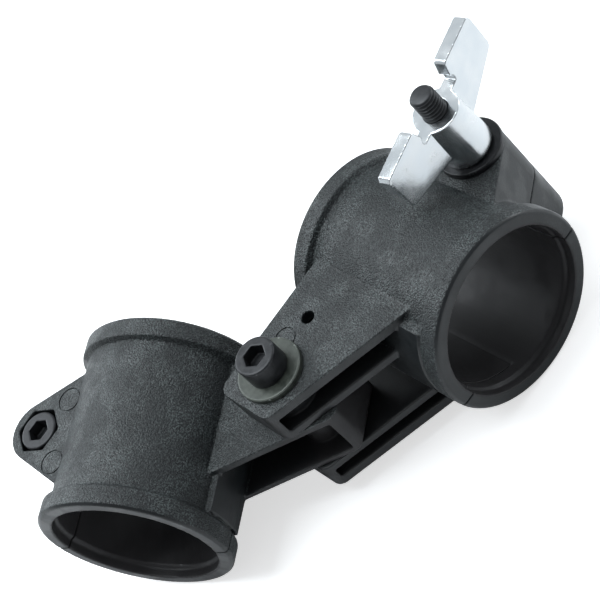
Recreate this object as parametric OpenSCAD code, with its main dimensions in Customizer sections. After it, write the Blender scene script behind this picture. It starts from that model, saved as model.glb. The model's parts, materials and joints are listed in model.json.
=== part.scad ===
// Swivel bracket that joins two 38.1 mm tubes: one split collar carries a fork, the other a tongue,
// and a socket screw through both is the pivot. Each collar is closed by a clamp screw in its ears.
// Origin: centre of the fork collar's tube seat. +Y: along that tube. +Z: along the pivot, toward its head.
// +X: away from the pivot, toward the wing nut.

/* [Collars] */
// Radius of the tube seat in both collars (mm)
seat_r = 19.05; // [18.8:0.05:19.2]
// Radius of the relieved mouth at each end of a collar (mm)
mouth_r = 19.75; // [19.6:0.05:20.2]
// Depth of the relieved mouth (mm)
mouth_depth = 2.2; // [1:0.1:3]
// Outside radius of the barrel (mm)
barrel_r = 21.7; // [21.5:0.1:22.4]
// Outside radius of the end flanges (mm)
flange_r = 23.3; // [23.2:0.1:24]
// Length of a collar over its two flanges (mm)
collar_len = 48; // [46:0.5:50]
// Width of one flange (mm)
flange_w = 4.9; // [4:0.1:5.5]
// Outside radius of the smooth band under the arm root (mm)
band_r = 23.25; // [22.9:0.05:23.25]
// Width of the split between body and jaw (mm)
split_gap = 0.18; // [0.14:0.02:0.3]
// Drop of the split below the tube axis on the arm side (mm)
split_drop = 5.4; // [5:0.1:6.5]

/* [Swivel] */
// Angle from the fork arm to the tongue arm (deg)
arm_angle = 120.6; // [105:1:175]
// Distance from the pivot to the fork collar axis (mm)
fork_arm = 41.1; // [41:0.1:43]
// Offset of the fork collar centre along its tube (mm)
fork_offset = 7.8; // [7:0.1:8.5]
// Distance from the pivot to the tongue collar axis (mm)
tongue_arm = 40.4; // [40.4:0.1:42]
// Offset of the tongue collar centre along its tube (mm)
tongue_offset = 8.9; // [8:0.1:9.5]
// Top of the fork (mm)
fork_top = 16.7; // [16.3:0.1:17]
// Bottom of the fork (mm)
fork_bottom = -17.9; // [-18:0.1:-17.6]
// Top of the slot between the fork ears (mm)
slot_top = 6.2; // [6:0.1:6.5]
// Bottom of the slot between the fork ears (mm)
slot_bottom = -9.4; // [-9.6:0.1:-9.2]
// Running gap between the tongue and each fork ear (mm)
slot_gap = 0.1; // [0.05:0.05:0.2]
// Distance from the pivot to the rounded end of the fork (mm)
fork_end = 9.9; // [9.5:0.1:10.5]
// Distance from the pivot to the rounded end of the tongue (mm)
tongue_end = 11.3; // [11:0.1:11.6]
// Distance from the pivot to the straight side of an arm (mm)
arm_side = 9.8; // [9.5:0.1:10.2]
// Distance from the pivot to the tapered side, along the tube (mm)
arm_taper_y = 10.9; // [10.5:0.1:11.3]
// Angle of the tapered side (deg)
arm_taper = 21.7; // [20:0.1:23]
// Radius of the arm corners (mm)
arm_corner = 3; // [2:0.5:4]
// Thickness of the fork's outer plates (mm)
plate_t = 2.95; // [2.5:0.05:3.2]
// Thickness of the fork's inner plates (mm)
inner_plate_t = 2.3; // [2:0.1:2.6]
// Thickness of the tongue's top plate (mm)
tongue_plate_t = 2.4; // [2:0.1:2.8]
// Thickness of the tongue's bottom plate (mm)
tongue_floor_t = 1.6; // [1.4:0.1:2]
// Thickness of the arms' outer walls (mm)
wall_t = 2; // [1.6:0.1:2.4]

/* [Clamp ears] */
// Distance from the tube axis to the clamp screw (mm)
ear_arm = 25.2; // [24.9:0.1:26]
// Radius of the ear tip (mm)
ear_tip_r = 7.8; // [7.6:0.1:8]
// Angle of the ear flanks (deg)
ear_flank = 29.5; // [28:0.5:31]
// Height of each ear above the split plane (mm)
ear_h = 15.5; // [15.2:0.1:15.8]

/* [Hardware] */
// Thread radius of all screws (mm)
screw_r = 3; // [2.9:0.1:3]
// Radial clearance of screws in their holes (mm)
hole_gap = 0.05; // [0.05:0.01:0.1]
// Thread pitch (mm)
pitch = 1; // [0.75:0.25:1]
// Radius of the socket screw heads (mm)
head_r = 5; // [4.8:0.1:5]
// Height of the socket screw heads (mm)
head_h = 6; // [5.8:0.1:6]
// Key size of the hexagon sockets, across flats (mm)
key_af = 5; // [4:0.5:5]
// Size of the nuts and of the bolt head, across flats (mm)
nut_af = 10; // [9.8:0.1:10]
// Thickness of the nuts (mm)
nut_h = 5; // [4.8:0.1:5.2]
// Height of the hexagon bolt head (mm)
bolt_head_h = 4; // [3.6:0.1:4.2]
// Length of the clamp bolt under its head (mm)
bolt_len = 55; // [54.8:0.1:55.2]
// Lean of the clamp bolt toward the collar, in its slotted hole (deg)
bolt_lean = 4.6; // [4.2:0.1:4.8]
// Radius of the washers (mm)
washer_r = 8; // [7.6:0.1:8.2]
// Thickness of the washers (mm)
washer_t = 1.6; // [1.2:0.1:1.8]
// Angle of the wing nut about its own axis (deg)
wing_angle = 10.8; // [-90:0.1:90]
// Distance from the wing nut axis to the outer edge of a wing (mm)
wing_reach = 20.9; // [20:0.1:21]
// Thickness of the wings (mm)
wing_t = 3.4; // [2.8:0.1:3.6]
// Radius of the wing nut hub at its base (mm)
hub_base_r = 6.2; // [6:0.1:6.3]
// Radius of the wing nut hub at its top (mm)
hub_top_r = 5.8; // [5.4:0.1:6.2]
// Height of the wing nut hub (mm)
hub_h = 14.7; // [13:0.1:15]

/* [Hidden] */
half_len = collar_len / 2;
rim_chamfer = 0.7;
step_chamfer = 0.8;
seat_step = mouth_r - seat_r;
tongue_top = slot_top - slot_gap;
tongue_bottom = slot_bottom + slot_gap;
fork_band_top = fork_top - 2;
tongue_band_top = tongue_top - 1.65;
root_split = 0.2;
band_half = half_len - flange_w - step_chamfer;
horn_start = band_half - 0.1;
horn_far = band_half + 0.5;
key_gap = 0.15;
bead_r = 1.1;
bead_gap = 0.1;
bead_x = -20.5;
bead_from = 19.8;
bead_to = 22.6;
hole_r = screw_r + hole_gap;
boss_r = 7.2;
tongue_boss_r = 5.2;
nut_gap = 0.05;
loose_gap = 0.3;
loose_nut_gap = 0.45;
bolt_slot = 1.5;
bolt_slot_gap = 0.1;
head_chamfer = 0.3;
socket_depth = 3.2;
thread_depth = 0.5;
tip_chamfer = 0.8;
washer_chamfer = 0.25;
nut_chamfer = 0.6;
pivot_seat = fork_top + washer_t;
pivot_len = 35;
ear_screw_len = 25;
ear_seat = ear_h - head_h;
nut_seat = -ear_h + nut_h + 0.2;
lean_x = ear_arm + 0.6;
lean_z = 8;
bolt_tip = 30.8;
bolt_seat = bolt_tip - bolt_len;
wing_base = 9.68;
clamp_washer_hole = 3.2;
tongue_curl = 3;
tongue_end_t = 1.5;
round_overlap = 0.01;
mark_w = 0.3;
mark_depth = 0.2;
cut = 60;
far = 80;
$fn = 96;

// Frames: each arm frame has its pivot at the origin, x toward its collar and y toward the near flange

module at_pivot() {
    translate([-fork_arm, fork_offset, 0]) children();
}

module in_fork() {
    at_pivot() mirror([0, 1, 0]) children();
}

module in_tongue() {
    at_pivot() rotate([0, 0, arm_angle]) children();
}

module at_fork_collar() {
    translate([fork_arm, fork_offset, 0]) children();
}

module at_tongue_collar() {
    translate([tongue_arm, tongue_offset, 0]) children();
}

// The clamp bolt's own frame: z along its leaning axis
module at_clamp_bolt() {
    in_fork()
    at_fork_collar()
    translate([lean_x, 0, lean_z])
    rotate([0, -bolt_lean, 0])
    children();
}

// Collar shapes, about a tube along y with the ears toward +x

module along_y() {
    rotate([90, 0, 0]) children();
}

module collar_outside() {
    along_y()
    rotate_extrude()
    polygon([
        [0, -half_len],
        [flange_r - rim_chamfer, -half_len],
        [flange_r, -half_len + rim_chamfer],
        [flange_r, -half_len + flange_w],
        [barrel_r, -half_len + flange_w + step_chamfer],
        [barrel_r, half_len - flange_w - step_chamfer],
        [flange_r, half_len - flange_w],
        [flange_r, half_len - rim_chamfer],
        [flange_r - rim_chamfer, half_len],
        [0, half_len]
    ]);
}

module tube_space() {
    along_y()
    rotate_extrude()
    polygon([
        [0, -half_len - 1],
        [mouth_r, -half_len - 1],
        [mouth_r, -half_len + mouth_depth],
        [seat_r, -half_len + mouth_depth + seat_step],
        [seat_r, half_len - mouth_depth - seat_step],
        [mouth_r, half_len - mouth_depth],
        [mouth_r, half_len + 1],
        [0, half_len + 1]
    ]);
}

module root_band(top, bottom) {
    intersection() {
        along_y() cylinder(r = band_r, h = 2 * band_half, center = true);
        translate([-cut, -cut, bottom]) cube([cut - 8, 2 * cut, top - bottom]);
    }
}

module band_cylinder() {
    along_y() cylinder(r = band_r, h = 2 * cut, center = true);
}

// Everything on the body's side of the stepped split; the root keeps the body down to root_bottom
module body_side(root_bottom) {
    translate([0, -cut, split_gap / 2]) cube([cut, 2 * cut, cut]);
    translate([-cut, -cut, -split_drop + split_gap / 2]) cube([cut + 0.01, 2 * cut, cut]);
    translate([-cut, -horn_far, root_bottom]) cube([cut, horn_far + horn_start, cut]);
}

module jaw_side(root_bottom) {
    difference() {
        translate([-cut, -cut, -cut]) cube([2 * cut, 2 * cut, cut - split_gap / 2]);
        translate([-far, -far, -split_drop - split_gap / 2]) cube([far, 2 * far, far]);
        translate([-far, -horn_far - key_gap, root_bottom - split_gap])
        cube([far, horn_far + horn_start + 2 * key_gap, far]);
    }
}

module bead(radius, extra) {
    for (side = [-1, 1]) {
        translate([bead_x, side * (bead_from + bead_to) / 2, -split_drop])
        along_y() cylinder(r = radius, h = bead_to - bead_from + 2 * extra, center = true, $fn = 32);
    }
}

module ear_plan() {
    tangent_x = ear_arm + ear_tip_r * sin(ear_flank);
    tangent_y = ear_tip_r * cos(ear_flank);
    root_x = 12;
    root_y = tangent_y + (tangent_x - root_x) * tan(ear_flank);
    polygon([[root_x, -root_y], [tangent_x, -tangent_y], [tangent_x, tangent_y], [root_x, root_y]]);
    translate([ear_arm, 0]) circle(r = ear_tip_r + round_overlap);
}

module body_ear() {
    translate([0, 0, split_gap / 2]) linear_extrude(ear_h - split_gap / 2) ear_plan();
}

module jaw_ear() {
    translate([0, 0, -ear_h]) linear_extrude(ear_h - split_gap / 2) ear_plan();
}

// The fork collar's two ears lean with the clamp bolt
module leaning_ear(low, high) {
    intersection() {
        translate([lean_x, 0, lean_z])
        rotate([0, -bolt_lean, 0])
        translate([-ear_arm, 0, -cut])
        linear_extrude(2 * cut)
        ear_plan();
        translate([0, -cut, low]) cube([cut, 2 * cut, high - low]);
    }
}

module hexagon(af, height) {
    cylinder(r = af / 2 / cos(30), h = height, $fn = 6);
}

module ring_mark(radius) {
    difference() {
        cylinder(r = radius, h = 1, $fn = 48);
        translate([0, 0, -1]) cylinder(r = radius - mark_w, h = 3, $fn = 48);
    }
}

// Arm shapes, in an arm frame

module arm_plan(end, root) {
    tip_x = -end + arm_corner;
    tip_y = arm_taper_y + tip_x * tan(arm_taper) - arm_corner / cos(arm_taper);
    polygon([
        [-end, -arm_side + arm_corner],
        [tip_x, -arm_side],
        [root, -arm_side],
        [root, arm_taper_y + root * tan(arm_taper)],
        [tip_x - arm_corner * sin(arm_taper), tip_y + arm_corner * cos(arm_taper)],
        [-end, tip_y]
    ]);
    translate([tip_x, tip_y]) circle(r = arm_corner + round_overlap, $fn = 64);
    translate([tip_x, -arm_side + arm_corner]) circle(r = arm_corner + round_overlap, $fn = 64);
}

module pocket_plan(end, root) {
    polygon([
        [-end + wall_t, -arm_side + wall_t],
        [root, -arm_side + wall_t],
        [root, cut],
        [-end + wall_t, cut]
    ]);
}

module fork_ear(low, high) {
    translate([0, 0, low]) linear_extrude(high - low) arm_plan(fork_end, fork_arm - 12);
}

module fork_pocket(low, high) {
    difference() {
        translate([0, 0, low]) linear_extrude(high - low) pocket_plan(fork_end, fork_arm - 10);
        at_fork_collar() band_cylinder();
        translate([0, 0, low - 1]) cylinder(r = boss_r, h = high - low + 2);
    }
}

module fork_outside() {
    intersection() {
        at_fork_collar() {
            collar_outside();
            root_band(fork_band_top, fork_bottom - root_split);
            leaning_ear(split_gap / 2, ear_h);
        }
        at_fork_collar() body_side(fork_bottom - root_split);
    }
    fork_ear(slot_top, fork_top);
    fork_ear(fork_bottom, slot_bottom);
}

module tongue_outside() {
    intersection() {
        at_tongue_collar() {
            collar_outside();
            root_band(tongue_band_top, tongue_bottom - root_split);
            body_ear();
        }
        at_tongue_collar() body_side(tongue_bottom - root_split);
    }
    difference() {
        translate([0, 0, tongue_bottom])
        linear_extrude(tongue_top - tongue_bottom)
        arm_plan(tongue_end, tongue_arm - 18);
        end_curl(tongue_end, tongue_bottom, tongue_curl);
    }
}

// What is cut away to round the lower edge of an arm's end
module end_curl(end, bottom, radius) {
    difference() {
        translate([-end - 1, -cut, bottom - 1]) cube([radius + 1, 2 * cut, radius + 1]);
        translate([-end + radius, 0, bottom + radius])
        along_y() cylinder(r = radius + round_overlap, h = 3 * cut, center = true);
    }
}

module tongue_pocket() {
    difference() {
        translate([0, 0, tongue_bottom + tongue_floor_t])
        linear_extrude(tongue_top - tongue_plate_t - tongue_bottom - tongue_floor_t)
        pocket_plan(tongue_end - wall_t + tongue_end_t, tongue_arm - 10);
        at_tongue_collar() band_cylinder();
        translate([0, 0, -cut]) cylinder(r = tongue_boss_r, h = 2 * cut);
        end_curl(tongue_end - tongue_end_t, tongue_bottom + tongue_floor_t, tongue_curl - tongue_end_t);
    }
}

// Nodes

module clamp_slot(radius) {
    translate([ear_arm, 0, -1]) cylinder(r = radius, h = cut);
    translate([ear_arm + bolt_slot, 0, -1]) cylinder(r = radius, h = cut);
    translate([ear_arm, -radius + round_overlap, -1])
    cube([bolt_slot, 2 * radius - 2 * round_overlap, cut]);
}

module fork_body() {
    color("#26292a")
    in_fork()
    difference() {
        fork_outside();
        at_fork_collar() tube_space();
        at_fork_collar() bead(bead_r + bead_gap, 0.2);
        fork_pocket(slot_top + inner_plate_t, fork_top - plate_t);
        fork_pocket(fork_bottom + plate_t, slot_bottom - inner_plate_t);
        translate([0, 0, -cut]) cylinder(r = hole_r, h = 2 * cut);
        translate([0, 0, fork_bottom - 1]) hexagon(nut_af + 2 * nut_gap, nut_h + 1.2);
        translate([14.7, -1.2, slot_top + inner_plate_t + 1]) cylinder(r = 1.65, h = cut, $fn = 48);
        translate([8.1, -2.9, fork_top - mark_depth]) ring_mark(2.8);
        at_fork_collar() clamp_slot(screw_r + bolt_slot_gap);
    }
}

module fork_jaw() {
    color("#26292a")
    difference() {
        in_fork()
        at_fork_collar()
        difference() {
            union() {
                intersection() {
                    collar_outside();
                    jaw_side(fork_bottom - root_split);
                }
                leaning_ear(-ear_h, -split_gap / 2);
                bead(bead_r, 0);
            }
            tube_space();
        }
        at_clamp_bolt() translate([0, 0, bolt_seat]) cylinder(r = hole_r, h = bolt_len);
    }
}

module tongue_body() {
    color("#26292a")
    in_tongue()
    difference() {
        tongue_outside();
        at_tongue_collar() tube_space();
        at_tongue_collar() bead(bead_r + bead_gap, 0.2);
        tongue_pocket();
        translate([0, 0, -cut]) cylinder(r = hole_r, h = 2 * cut);
        at_tongue_collar() {
            translate([ear_arm, 0, -1]) cylinder(r = hole_r, h = cut);
            translate([ear_arm, 0, ear_seat]) hexagon(nut_af + 0.6, head_h + 1);
            translate([17.9, -7.6, ear_h - mark_depth]) ring_mark(3.2);
            translate([17.9, 8.9, ear_h - mark_depth]) ring_mark(3.2);
        }
    }
}

module tongue_jaw() {
    color("#26292a")
    in_tongue()
    at_tongue_collar()
    difference() {
        union() {
            intersection() {
                collar_outside();
                jaw_side(tongue_bottom - root_split);
            }
            jaw_ear();
            bead(bead_r, 0);
        }
        tube_space();
        translate([ear_arm, 0, -cut]) cylinder(r = screw_r + loose_gap, h = 2 * cut);
        translate([ear_arm, 0, -ear_h - 1]) hexagon(nut_af + 2 * loose_nut_gap, ear_h + 1.1 + nut_seat);
    }
}

module screw_shank(length) {
    translate([0, 0, -length + tip_chamfer]) cylinder(r = screw_r, h = length - tip_chamfer, $fn = 64);
    translate([0, 0, -length]) cylinder(r1 = screw_r - tip_chamfer, r2 = screw_r, h = tip_chamfer, $fn = 64);
}

module socket_head() {
    difference() {
        union() {
            cylinder(r = head_r, h = head_h - head_chamfer);
            translate([0, 0, head_h - head_chamfer])
            cylinder(r1 = head_r, r2 = head_r - head_chamfer, h = head_chamfer);
        }
        translate([0, 0, head_h - socket_depth]) hexagon(key_af, socket_depth + 1);
    }
}

module washer(hole) {
    difference() {
        union() {
            cylinder(r = washer_r, h = washer_t - washer_chamfer);
            translate([0, 0, washer_t - washer_chamfer])
            cylinder(r1 = washer_r, r2 = washer_r - washer_chamfer, h = washer_chamfer);
        }
        translate([0, 0, -1]) cylinder(r = hole, h = washer_t + 2);
    }
}

module nut() {
    difference() {
        intersection() {
            hexagon(nut_af, nut_h);
            cylinder(r1 = nut_af / 2 - nut_chamfer / 2, r2 = nut_af / 2 + nut_h, h = nut_h + nut_chamfer / 2);
            cylinder(r2 = nut_af / 2 - nut_chamfer / 2, r1 = nut_af / 2 + nut_h, h = nut_h);
        }
        translate([0, 0, -1]) cylinder(r = hole_r, h = nut_h + 2);
    }
}

module thread_groove() {
    rotate_extrude($fn = 64)
    polygon([
        [screw_r + 1, -pitch * 0.45],
        [screw_r + 1, pitch * 0.45],
        [screw_r, pitch * 0.45],
        [screw_r - thread_depth, 0],
        [screw_r, -pitch * 0.45]
    ]);
}

module pivot_screw() {
    color("#2b2c2e")
    at_pivot()
    translate([0, 0, pivot_seat]) {
        socket_head();
        screw_shank(pivot_len);
    }
}

module pivot_washer() {
    color("#8f968f")
    at_pivot() translate([0, 0, fork_top]) washer(hole_r);
}

module pivot_nut() {
    color("#9a9d9e")
    at_pivot() translate([0, 0, fork_bottom + 0.1]) nut();
}

module clamp_bolt() {
    color("#232426")
    at_clamp_bolt() {
        difference() {
            translate([0, 0, bolt_tip]) screw_shank(bolt_len + 0.01);
            for (turn = [1:8]) {
                translate([0, 0, bolt_tip - tip_chamfer - (turn - 0.5) * pitch]) thread_groove();
            }
        }
        translate([0, 0, bolt_seat - bolt_head_h]) hexagon(nut_af, bolt_head_h);
    }
}

module clamp_washer() {
    color("#1f2021")
    in_fork()
    at_fork_collar()
    translate([ear_arm, 0, ear_h]) washer(clamp_washer_hole);
}

module wing_profile() {
    polygon([
        [hub_top_r - 2, 3.7],
        [hub_top_r, 4.4],
        [wing_reach - 1.3, 8.9],
        [wing_reach - 0.5, 9.4],
        [wing_reach - 0.1, 10.3],
        [wing_reach, 19.2],
        [wing_reach - 0.8, 20.4],
        [hub_top_r + 3.4, 20.4],
        [hub_top_r + 2.8, 20],
        [hub_top_r + 1.9, 17],
        [hub_top_r + 2.7, 15.8],
        [hub_top_r + 2.5, hub_h],
        [hub_top_r - 2, hub_h]
    ]);
}

module wing_nut() {
    color("#d9dde0")
    at_clamp_bolt()
    translate([0, 0, wing_base])
    rotate([0, 0, -wing_angle])
    difference() {
        union() {
            cylinder(r1 = hub_base_r, r2 = hub_top_r, h = hub_h);
            for (side = [0, 180]) {
                rotate([90, 0, side])
                translate([0, 0, -wing_t / 2])
                linear_extrude(wing_t)
                wing_profile();
            }
        }
        translate([0, 0, -1]) cylinder(r = hole_r, h = hub_h + 2);
    }
}

module ear_screw() {
    color("#2b2c2e")
    in_tongue()
    at_tongue_collar()
    translate([ear_arm, 0, ear_seat]) {
        socket_head();
        screw_shank(ear_screw_len);
    }
}

module ear_nut() {
    color("#9a9d9e")
    in_tongue()
    at_tongue_collar()
    translate([ear_arm, 0, nut_seat - nut_h]) nut();
}

fork_body();
fork_jaw();
tongue_body();
tongue_jaw();
pivot_screw();
pivot_washer();
pivot_nut();
clamp_bolt();
clamp_washer();
wing_nut();
ear_screw();
ear_nut();
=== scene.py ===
import json
import math

import bmesh
import bpy
import numpy as np
from mathutils import Matrix, Vector


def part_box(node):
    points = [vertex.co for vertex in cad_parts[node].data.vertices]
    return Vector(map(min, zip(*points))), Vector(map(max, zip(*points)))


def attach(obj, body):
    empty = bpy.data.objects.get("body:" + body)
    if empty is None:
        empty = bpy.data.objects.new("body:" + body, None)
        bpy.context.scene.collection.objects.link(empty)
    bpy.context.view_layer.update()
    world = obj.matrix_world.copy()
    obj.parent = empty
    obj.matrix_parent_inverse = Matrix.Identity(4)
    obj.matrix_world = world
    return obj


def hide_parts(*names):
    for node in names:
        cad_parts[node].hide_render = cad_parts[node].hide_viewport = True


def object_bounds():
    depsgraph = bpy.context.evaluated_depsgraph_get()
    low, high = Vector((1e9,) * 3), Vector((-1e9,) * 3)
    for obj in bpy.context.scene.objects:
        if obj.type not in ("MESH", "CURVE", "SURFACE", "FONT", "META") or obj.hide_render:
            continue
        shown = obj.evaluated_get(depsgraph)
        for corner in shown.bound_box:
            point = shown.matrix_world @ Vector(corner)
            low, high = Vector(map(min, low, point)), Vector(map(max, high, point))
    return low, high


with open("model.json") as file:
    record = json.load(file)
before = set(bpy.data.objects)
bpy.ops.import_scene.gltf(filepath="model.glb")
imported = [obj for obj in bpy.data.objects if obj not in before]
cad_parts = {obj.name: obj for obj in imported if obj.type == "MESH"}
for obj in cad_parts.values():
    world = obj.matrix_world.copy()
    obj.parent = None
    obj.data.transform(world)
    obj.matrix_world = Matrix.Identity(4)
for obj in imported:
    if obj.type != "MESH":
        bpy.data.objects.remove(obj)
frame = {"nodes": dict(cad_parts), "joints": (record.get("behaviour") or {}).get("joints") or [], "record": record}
cad_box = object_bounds()
nodes = frame["nodes"]
joints = {j["name"]: j for j in frame["joints"]}
mounts = {m["name"]: m for m in frame["record"]["mounts"]}
MM = 0.001

# ---------------------------------------------------------------- camera
# The place, direction and lens that the outlines in the picture give.
CAMERA_PLACE = Vector((-0.07561, -0.23550, 0.27227))
CAMERA_TURN = Vector((-0.7811598, -0.2342975, 0.9389286))
LENS = 96.4
SENSOR = 36.0


def photo_camera():
    rot = Matrix.Rotation(CAMERA_TURN.length, 3, CAMERA_TURN.normalized()).transposed()
    data = bpy.data.cameras.new("camera")
    data.lens = LENS
    data.sensor_width = SENSOR
    data.clip_start = 0.01
    data.clip_end = 20
    cam = bpy.data.objects.new("camera", data)
    cam.matrix_world = Matrix.Translation(CAMERA_PLACE) @ rot.to_4x4()
    bpy.context.scene.collection.objects.link(cam)
    bpy.context.scene.camera = cam


photo_camera()


# ---------------------------------------------------------------- material helpers
class Nodes:
    """Short calls for building a material's node tree."""

    def __init__(self, name):
        self.mat = bpy.data.materials.new(name)
        self.mat.use_nodes = True
        self.tree = self.mat.node_tree
        self.bsdf = self.tree.nodes["Principled BSDF"]
        self.place = self.tree.nodes.new("ShaderNodeTexCoord").outputs["Object"]

    def link(self, a, b):
        if isinstance(a, (int, float)):
            b.default_value = a
        elif isinstance(a, tuple):
            b.default_value = a
        else:
            self.tree.links.new(a, b)

    def math(self, op, a, b=0.0, clamp=False):
        n = self.tree.nodes.new("ShaderNodeMath")
        n.operation = op
        n.use_clamp = clamp
        self.link(a, n.inputs[0])
        self.link(b, n.inputs[1])
        return n.outputs[0]

    def noise(self, size_mm, detail=2.0, rough=0.5, vector=None):
        n = self.tree.nodes.new("ShaderNodeTexNoise")
        n.inputs["Scale"].default_value = 1 / (size_mm * MM)
        n.inputs["Detail"].default_value = detail
        n.inputs["Roughness"].default_value = rough
        self.link(vector or self.place, n.inputs["Vector"])
        return n.outputs["Fac"]

    def cells(self, size_mm, feature="F1", vector=None):
        n = self.tree.nodes.new("ShaderNodeTexVoronoi")
        n.feature = feature
        n.inputs["Scale"].default_value = 1 / (size_mm * MM)
        self.link(vector or self.place, n.inputs["Vector"])
        return n.outputs["Distance"]

    def ramp(self, value, low, high, a=0.0, b=1.0):
        n = self.tree.nodes.new("ShaderNodeMapRange")
        n.interpolation_type = "SMOOTHSTEP"
        for key, v in (("Value", value), ("From Min", low), ("From Max", high), ("To Min", a), ("To Max", b)):
            self.link(v, n.inputs[key])
        return n.outputs["Result"]

    def mix(self, fac, a, b):
        n = self.tree.nodes.new("ShaderNodeMix")
        n.data_type = "RGBA"
        self.link(fac, n.inputs[0])
        self.link(a, n.inputs[6])
        self.link(b, n.inputs[7])
        return n.outputs[2]

    def attribute(self, name):
        n = self.tree.nodes.new("ShaderNodeAttribute")
        n.attribute_name = name
        return n.outputs["Fac"]

    def edges(self, low, high):
        n = self.tree.nodes.new("ShaderNodeNewGeometry")
        return self.ramp(n.outputs["Pointiness"], low, high)

    def stretch(self, x, y, z):
        n = self.tree.nodes.new("ShaderNodeMapping")
        n.inputs["Scale"].default_value = (x, y, z)
        self.link(self.place, n.inputs["Vector"])
        return n.outputs["Vector"]

    def bump(self, height, depth_mm, strength=1.0, under=None):
        n = self.tree.nodes.new("ShaderNodeBump")
        n.inputs["Strength"].default_value = strength
        n.inputs["Distance"].default_value = depth_mm * MM
        self.link(height, n.inputs["Height"])
        if under is not None:
            self.link(under, n.inputs["Normal"])
        return n.outputs["Normal"]

    def done(self, color, rough, normal=None, metallic=0.0, **extra):
        self.link(color, self.bsdf.inputs["Base Color"])
        self.link(rough, self.bsdf.inputs["Roughness"])
        self.link(metallic, self.bsdf.inputs["Metallic"])
        if normal is not None:
            self.link(normal, self.bsdf.inputs["Normal"])
        for key, v in extra.items():
            self.link(v, self.bsdf.inputs[key.replace("_", " ")])
        return self.mat


def nylon(name):
    """Black moulded nylon.

    The attribute 'grain' is 1 where the mould is spark-eroded and 0 where it is smooth. A second attribute is 1 in
    bores, pockets and slots, which get a browner painted shade colour and a duller shine.
    """
    n = Nodes(name)
    grain = n.attribute("grain")
    inner = n.attribute("inner")
    broad = n.noise(13, 3.0, 0.55)
    patch = n.ramp(n.noise(8, 3.0, 0.6), 0.38, 0.66)
    pits = n.ramp(n.cells(0.48), 0.10, 0.65)
    fine = n.noise(0.34, 1.0, 0.5)
    height = n.math("ADD", n.math("MULTIPLY", pits, 0.45), fine)
    height = n.math("MULTIPLY", height, n.ramp(grain, 0.0, 1.0, 0.03, 1.0))
    normal = n.bump(height, 0.19)
    normal = n.bump(n.noise(7, 2.0), 0.06, 1.0, normal)
    # painted highlight: light specks on the grain, denser in noise patches, stand in for its glints
    painted_glint = n.ramp(n.noise(0.40, 1.0, 0.5), 0.42, 0.66)
    painted_glint = n.math("MULTIPLY", n.math("MULTIPLY", painted_glint, grain), n.ramp(patch, 0.0, 1.0, 0.45, 1.0))
    color = n.mix(n.ramp(broad, 0.3, 0.7), (0.0085, 0.0100, 0.0110, 1), (0.0135, 0.0160, 0.0175, 1))
    color = n.mix(painted_glint, color, (0.072, 0.086, 0.085, 1))
    # painted highlight along the rounded edges, from pointiness
    color = n.mix(n.math("MULTIPLY", n.edges(0.53, 0.62), 0.22), color, (0.055, 0.062, 0.066, 1))
    # painted shade: bores, pockets and slots take a set shade colour instead of the nylon's own
    color = n.mix(inner, color, (0.028, 0.0268, 0.0280, 1))
    rough = n.math("ADD", n.ramp(grain, 0.0, 1.0, 0.38, 0.50), n.ramp(patch, 0.0, 1.0, 0.06, -0.10))
    rough = n.math("ADD", rough, n.math("MULTIPLY", inner, 0.06))
    shine = n.ramp(inner, 0.0, 1.0, 0.5, 0.32)
    return n.done(color, rough, normal, Specular_IOR_Level=shine)


def black_oxide(name, shade=1.0):
    """Black oxide on steel: satin, blotched, and worn a little at the edges."""
    n = Nodes(name)
    cloud = n.noise(2.2, 4.0, 0.6)
    lines = n.noise(0.25, 2.0, 0.5, n.stretch(1, 1, 0.15))
    color = n.mix(n.ramp(cloud, 0.3, 0.7), (0.012 * shade, 0.013 * shade, 0.015 * shade, 1),
                  (0.03 * shade, 0.031 * shade, 0.034 * shade, 1))
    color = n.mix(n.math("MULTIPLY", n.edges(0.511, 0.565), 0.45), color, (0.13, 0.135, 0.14, 1))
    height = n.math("ADD", n.math("MULTIPLY", lines, 0.6), n.math("MULTIPLY", n.noise(0.12, 2.0), 0.4))
    normal = n.bump(height, 0.012)
    rough = n.ramp(cloud, 0.3, 0.7, 0.30, 0.44)
    return n.done(color, rough, normal, metallic=0.35)


def dull_zinc(name):
    """Zinc plate gone greenish grey, bright only where its edges are rubbed."""
    n = Nodes(name)
    cloud = n.noise(1.8, 4.0, 0.65)
    color = n.mix(n.ramp(cloud, 0.3, 0.7), (0.036, 0.042, 0.035, 1), (0.066, 0.076, 0.063, 1))
    color = n.mix(n.edges(0.510, 0.560), color, (0.45, 0.48, 0.44, 1))
    normal = n.bump(n.noise(0.2, 3.0, 0.6), 0.012)
    rough = n.ramp(cloud, 0.3, 0.7, 0.34, 0.48)
    return n.done(color, rough, normal, metallic=n.ramp(n.edges(0.510, 0.560), 0.0, 1.0, 0.25, 0.9))


def bright_zinc(name):
    """Bright zinc plate over a casting: a shallow ripple under the shine."""
    n = Nodes(name)
    ripple = n.noise(3.2, 2.0, 0.45)
    cloud = n.noise(5.0, 3.0, 0.5)
    grit = n.noise(0.35, 2.0, 0.5)
    normal = n.bump(ripple, 0.045)
    normal = n.bump(grit, 0.004, 1.0, normal)
    color = n.mix(n.ramp(cloud, 0.3, 0.7), (0.74, 0.775, 0.80, 1), (0.83, 0.85, 0.86, 1))
    rough = n.ramp(cloud, 0.3, 0.7, 0.17, 0.28)
    return n.done(color, rough, normal, metallic=1.0)


# ---------------------------------------------------------------- mesh helpers
def new_object(name, mesh):
    o = bpy.data.objects.new(name, mesh)
    bpy.context.scene.collection.objects.link(o)
    return o


def modified(o, *steps):
    """o's mesh with these modifiers applied; each step is (type, settings)."""
    for kind, settings in steps:
        m = o.modifiers.new(kind, kind)
        for key, v in settings.items():
            setattr(m, key, v)
    graph = bpy.context.evaluated_depsgraph_get()
    mesh = bpy.data.meshes.new_from_object(o.evaluated_get(graph))
    o.modifiers.clear()
    old = o.data
    o.data = mesh
    bpy.data.meshes.remove(old)
    return mesh


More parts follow.
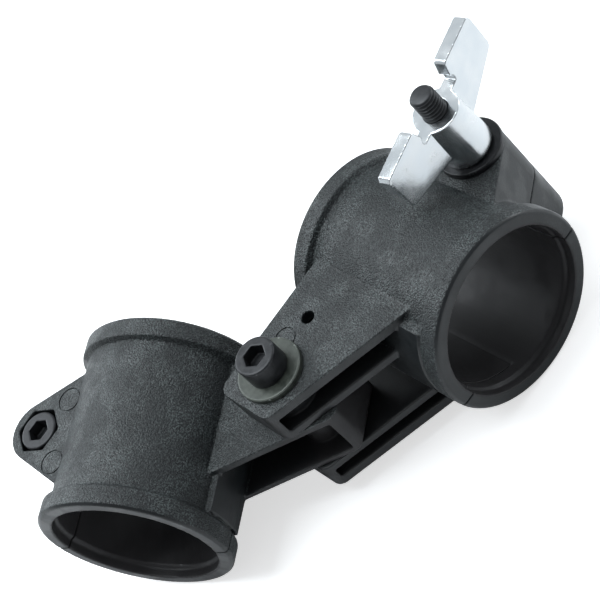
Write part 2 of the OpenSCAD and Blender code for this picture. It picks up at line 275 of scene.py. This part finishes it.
def rounded(node, name, voxel, soften, keep):
    """The node's shape with every edge rounded and every concave corner filled a little, as a moulding has."""
    mesh = nodes[node].data.copy()
    bm = bmesh.new()
    bm.from_mesh(mesh)
    bmesh.ops.remove_doubles(bm, verts=bm.verts, dist=2e-6)
    bmesh.ops.scale(bm, vec=(1000, 1000, 1000), verts=bm.verts)
    bm.to_mesh(mesh)
    bm.free()
    mesh.materials.clear()
    o = new_object(name, mesh)
    steps = [("REMESH", {"mode": "VOXEL", "voxel_size": voxel, "adaptivity": 0.0, "use_smooth_shade": True}),
             ("SMOOTH", {"factor": 0.5, "iterations": soften})]
    if keep < 1:
        steps += [("DECIMATE", {"ratio": keep}), ("WEIGHTED_NORMAL", {"mode": "FACE_AREA", "weight": 60})]
    modified(o, *steps)
    o.data.transform(Matrix.Scale(MM, 4))
    o.data.update()
    return o


def belongs(o, node, body, material):
    o.data.materials.clear()
    o.data.materials.append(material)
    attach(o, body)
    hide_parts(node)


def body_for(node):
    for body, members in frame["record"]["behaviour"]["bodies"].items():
        if node in members:
            return body


# ---------------------------------------------------------------- mouldings
PIVOT = Vector(joints["swivel"]["pos_m"])
# Heights and radii on the mouldings, mm
SLOT_TOP = 6.1
SLOT_BOTTOM = -9.3
EAR_TOP = 15.5
BORE_WALL = 20.3
RIM_INNER = 20.6
RIM_FACE = 23.4
BARREL = 23.9
PAD_HALF = 18.5
EAR_SIDE = -17
ARM_SIDE = 8


def collar_coordinates(co, mount):
    """Radius from the tube axis, distance along it, distance to the pivot's side, and height, all in mm."""
    m = mounts[mount]
    centre = np.array(m["pos_m"])
    axis = np.array(m["axis"])
    axis = axis / np.linalg.norm(axis)
    to_pivot = np.array(PIVOT) - centre
    to_pivot[2] = 0
    to_pivot -= axis * to_pivot.dot(axis)
    to_pivot /= np.linalg.norm(to_pivot)
    rel = (co - centre) / MM
    along = rel @ axis
    side = rel @ to_pivot
    high = rel[:, 2]
    return np.hypot(side, high), along, side, high


def arm_coordinates(co, mount):
    """Distance from the pivot toward the collar, along the tube toward the near flange, and height, in mm."""
    m = mounts[mount]
    axis = np.array(m["axis"])
    axis = axis / np.linalg.norm(axis)
    rel = (co - np.array(PIVOT)) / MM
    out = np.array(m["pos_m"]) - np.array(PIVOT)
    out[2] = 0
    out -= axis * out.dot(axis)
    out /= np.linalg.norm(out)
    near = axis if mount == "tongue_bore" else -axis
    return rel @ out, rel @ near, rel[:, 2]


def paint(o, mount):
    """Smooth in the bore, on the rims, on the pad at the arm's root, on the ear's flanks and in the arm; bore,
    pockets and slot are marked for painted shade.
    """
    count = len(o.data.polygons)
    co = np.empty(count * 3, np.float32)
    o.data.polygons.foreach_get("center", co)
    co = co.reshape(-1, 3)
    no = np.empty(count * 3, np.float32)
    o.data.polygons.foreach_get("normal", no)
    no = no.reshape(-1, 3)
    radius, along, side, high = collar_coordinates(co, mount)
    x, y, z = arm_coordinates(co, mount)
    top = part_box("pivot_washer")[0].z / MM if mount == "fork_bore" else SLOT_TOP
    grain = np.ones(len(co), np.float32)
    inner = np.zeros(len(co), np.float32)
    # painted shade in the bore
    inner[radius < BORE_WALL] = 1
    grain[radius < RIM_INNER] = 0
    grain[np.abs(along) > RIM_FACE] = 0
    pad = (np.abs(along) < PAD_HALF) & (radius < BARREL) & (radius > 22.4)
    grain[pad & (side > ARM_SIDE) & (no[:, 2] < 0.9)] = 0
    grain[(side < EAR_SIDE) & (np.abs(no[:, 2]) < 0.6)] = 0.15
    arm = (radius > BARREL) & (side > ARM_SIDE)
    grain[arm & (z < top - 0.5)] = 0.1
    # painted shade: the pockets in the arm get some, the slot faces almost all of it
    inner[arm & (z < top - 3.2)] = 0.45
    slot_faces = (z < SLOT_TOP - 0.7) & (z > SLOT_BOTTOM) & (x < (3 if mount == "tongue_bore" else 90))
    inner[arm & slot_faces] = 0.95
    for name, values in (("grain", grain), ("inner", inner)):
        a = o.data.attributes.new(name, "FLOAT", "FACE")
        a.data.foreach_set("value", values)


def engrave(o, rings, mount, height):
    """Cuts thin circles, the marks of the mould's ejector pins, into the face at this height."""
    m = mounts[mount]
    axis = Vector(m["axis"]).normalized()
    near = axis if mount == "tongue_bore" else -axis
    out = Vector(m["pos_m"]) - PIVOT
    out.z = 0
    out -= axis * out.dot(axis)
    out.normalize()
    bm = bmesh.new()
    for (x, y), radius in rings:
        centre = PIVOT + out * (x * MM) + near * (y * MM) + Vector((0, 0, height * MM))
        loops = []
        for r, z in ((radius - 0.36, -0.28), (radius - 0.36, 0.5), (radius, 0.5), (radius, -0.28)):
            loop = []
            for k in range(64):
                a = 2 * math.pi * k / 64
                loop.append(bm.verts.new(centre + Vector((math.cos(a) * r, math.sin(a) * r, z)) * MM))
            loops.append(loop)
        for a, b in zip(loops, loops[1:] + loops[:1]):
            for k in range(64):
                bm.faces.new((a[k], a[(k + 1) % 64], b[(k + 1) % 64], b[k]))
    bmesh.ops.recalc_face_normals(bm, faces=bm.faces)
    mesh = bpy.data.meshes.new("rings")
    bm.to_mesh(mesh)
    bm.free()
    cutter = new_object("rings", mesh)
    modified(o, ("BOOLEAN", {"operation": "DIFFERENCE", "solver": "EXACT", "object": cutter}))
    bpy.data.objects.remove(cutter)


nylon_fork = nylon("nylon_fork")
nylon_tongue = nylon("nylon_tongue")

for node, mount, slot_name, material in (
        ("fork_body", "fork_bore", "nylon_fork", nylon_fork),
        ("fork_jaw", "fork_bore", "nylon_fork", nylon_fork),
        ("tongue_body", "tongue_bore", "nylon_tongue", nylon_tongue),
        ("tongue_jaw", "tongue_bore", "nylon_tongue", nylon_tongue)):
    piece = rounded(node, node + "_moulding", 0.26, 5, 0.2)
    if node == "fork_body":
        engrave(piece, [((8.1, -2.9), 2.8)], mount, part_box("pivot_washer")[0].z / MM)
    if node == "tongue_body":
        engrave(piece, [((58.3, 1.3), 3.2), ((58.3, 17.8), 3.2)], mount, EAR_TOP)
    paint(piece, mount)
    belongs(piece, node, body_for(node), material)

# ---------------------------------------------------------------- wing nut
zinc_bright = bright_zinc("bright_zinc")
piece = rounded("wing_nut", "wing_nut_casting", 0.18, 5, 1.0)
belongs(piece, "wing_nut", body_for("wing_nut"), zinc_bright)

# ---------------------------------------------------------------- fasteners
steel = black_oxide("black_steel")
washer_black = black_oxide("black_washer", 0.7)
zinc_dull = dull_zinc("zinc_steel")
for node, name, voxel, soften, slot_name, material in (
        ("pivot_screw", "pivot_screw_body", 0.16, 4, "black_steel", steel),
        ("ear_screw", "ear_screw_body", 0.16, 4, "black_steel", steel),
        ("clamp_washer", "clamp_washer_ring", 0.14, 3, "black_washer", washer_black),
        ("pivot_washer", "pivot_washer_ring", 0.14, 3, "zinc_steel", zinc_dull)):
    piece = rounded(node, name, voxel, soften, 1.0)
    belongs(piece, node, body_for(node), material)
for node in ("pivot_nut", "ear_nut"):
    nodes[node].data.materials.clear()
    nodes[node].data.materials.append(zinc_dull)


def threaded_bolt(name, node):
    """The clamp bolt: hexagon head with a rounded crown, plain shank, then a helical thread to the tip."""
    joint = joints["wing_turn"]
    axis = Vector(joint["axis"]).normalized()
    base = Vector(joint["pos_m"])
    low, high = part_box(node)
    tip = (high.z - base.z) / axis.z / MM
    length, head_high, flats, pitch, depth = 55.0, 4.0, 10.0, 1.0, 0.55
    turn = axis.to_track_quat("Z", "Y").to_matrix()
    seat = tip - length
    thread_from = tip - 22.0
    sides = 48
    bm = bmesh.new()

    def ring(radii, w):
        out = []
        for k in range(sides):
            a = 2 * math.pi * k / sides
            p = Vector((math.cos(a) * radii[k], math.sin(a) * radii[k], w))
            out.append(bm.verts.new(base + turn @ p * MM))
        return out

    def hexagon(k, scale, limit):
        a = 2 * math.pi * k / sides
        inside = (a + math.pi / 6) % (math.pi / 3) - math.pi / 6
        return min(flats / 2 / math.cos(inside) * scale, limit)

    def crest(w, k):
        if w < thread_from:
            return 3.0
        phase = (w / pitch - k / sides) % 1.0
        cut = depth * max(0.0, 1 - abs(phase - 0.5) / 0.42) * min(1.0, (w - thread_from) / 1.0)
        taper = max(0.0, (w - (tip - 0.7))) * 0.9
        return min(3.0 - cut, 3.0 - taper)

    rings = [ring([0.02] * sides, seat - head_high)]
    for scale, limit, w in ((0.86, 4.6, 0.0), (0.97, 4.95, 0.12), (1.0, 5.5, 0.55),
                            (1.0, 5.74, 3.7), (0.98, 5.6, 3.95)):
        rings.append(ring([hexagon(k, scale, limit) for k in range(sides)], seat - head_high + w))
    rings.append(ring([3.05] * sides, seat - 0.02))
    rings.append(ring([3.0] * sides, seat + 0.1))
    w = thread_from - 0.1
    step = 0.125
    while w < tip:
        rings.append(ring([crest(w, k) for k in range(sides)], w))
        w += step
    rings.append(ring([2.2] * sides, tip))
    for a, b in zip(rings, rings[1:]):
        for k in range(sides):
            bm.faces.new((a[k], a[(k + 1) % sides], b[(k + 1) % sides], b[k]))
    bm.faces.new(list(reversed(rings[0])))
    bm.faces.new(rings[-1])
    bmesh.ops.recalc_face_normals(bm, faces=bm.faces)
    mesh = bpy.data.meshes.new(name)
    bm.to_mesh(mesh)
    bm.free()
    o = new_object(name, mesh)
    mesh.polygons.foreach_set("use_smooth", [True] * len(mesh.polygons))
    mesh.set_sharp_from_angle(angle=math.radians(40))
    belongs(o, node, body_for(node), steel)


threaded_bolt("clamp_bolt_thread", "clamp_bolt")


# ---------------------------------------------------------------- stage and light
def floor_material():
    """Pale paper. To the camera it also glows a little, so that it reads as near white under soft light."""
    n = Nodes("floor")
    color = n.mix(n.noise(40, 2.0), (0.86, 0.86, 0.86, 1), (0.9, 0.9, 0.9, 1))
    seen = n.tree.nodes.new("ShaderNodeLightPath").outputs["Is Camera Ray"]
    n.link((1, 1, 1, 1), n.bsdf.inputs["Emission Color"])
    n.link(n.math("MULTIPLY", seen, 0.62), n.bsdf.inputs["Emission Strength"])
    return n.done(color, 0.8, n.bump(n.noise(1.5, 2.0), 0.02))


floor_z = cad_box[0].z - 0.0002
mesh = bpy.data.meshes.new("floor")
half = 3.0
corners = ((-half, -half), (half, -half), (half, half), (-half, half))
mesh.from_pydata([(x, y, floor_z) for x, y in corners], [], [(0, 1, 2, 3)])
floor = new_object("floor", mesh)
mesh.materials.append(floor_material())


def soft_world():
    """A bright room behind and above the object, darker on the camera's side."""
    world = bpy.data.worlds.new("world")
    world.use_nodes = True
    tree = world.node_tree
    back = tree.nodes["Background"]
    where = tree.nodes.new("ShaderNodeTexCoord")
    dot = tree.nodes.new("ShaderNodeVectorMath")
    dot.operation = "DOT_PRODUCT"
    away = Vector((-CAMERA_PLACE.x, -CAMERA_PLACE.y, 0)).normalized()
    dot.inputs[1].default_value = (away * 0.85 + Vector((0, 0, 0.55))).normalized()
    tree.links.new(where.outputs["Generated"], dot.inputs[0])
    ramp = tree.nodes.new("ShaderNodeValToRGB")
    ramp.color_ramp.elements[0].position = 0.25
    ramp.color_ramp.elements[0].color = (0.125, 0.127, 0.134, 1)
    ramp.color_ramp.elements[1].position = 0.9
    ramp.color_ramp.elements[1].color = (0.62, 0.66, 0.69, 1)
    half_range = tree.nodes.new("ShaderNodeMapRange")
    half_range.inputs["From Min"].default_value = -1
    half_range.inputs["From Max"].default_value = 1
    tree.links.new(dot.outputs["Value"], half_range.inputs["Value"])
    tree.links.new(half_range.outputs["Result"], ramp.inputs[0])
    tree.links.new(ramp.outputs[0], back.inputs[0])
    back.inputs[1].default_value = 1.0
    bpy.context.scene.world = world


def area(name, place, target, size, power, color=(1, 1, 1)):
    d = bpy.data.lights.new(name, "AREA")
    d.size = size
    d.energy = power
    d.color = color
    o = bpy.data.objects.new(name, d)
    o.location = place
    o.rotation_mode = "QUATERNION"
    o.rotation_quaternion = (Vector(target) - Vector(place)).to_track_quat("-Z", "Y")
    bpy.context.scene.collection.objects.link(o)
    return o


soft_world()
area("top", (-0.14, 0.22, 0.70), (-0.03, 0, 0), 0.5, 4.2, (0.94, 1.0, 1.04))
area("side", (0.55, -0.12, 0.16), (0.02, 0, 0), 0.25, 0.9, (0.95, 1.0, 1.04))
area("back", (-0.25, 0.75, 0.35), (-0.03, 0, 0), 0.5, 2.2, (0.94, 1.0, 1.05))
bpy.context.scene.view_settings.view_transform = "Standard"
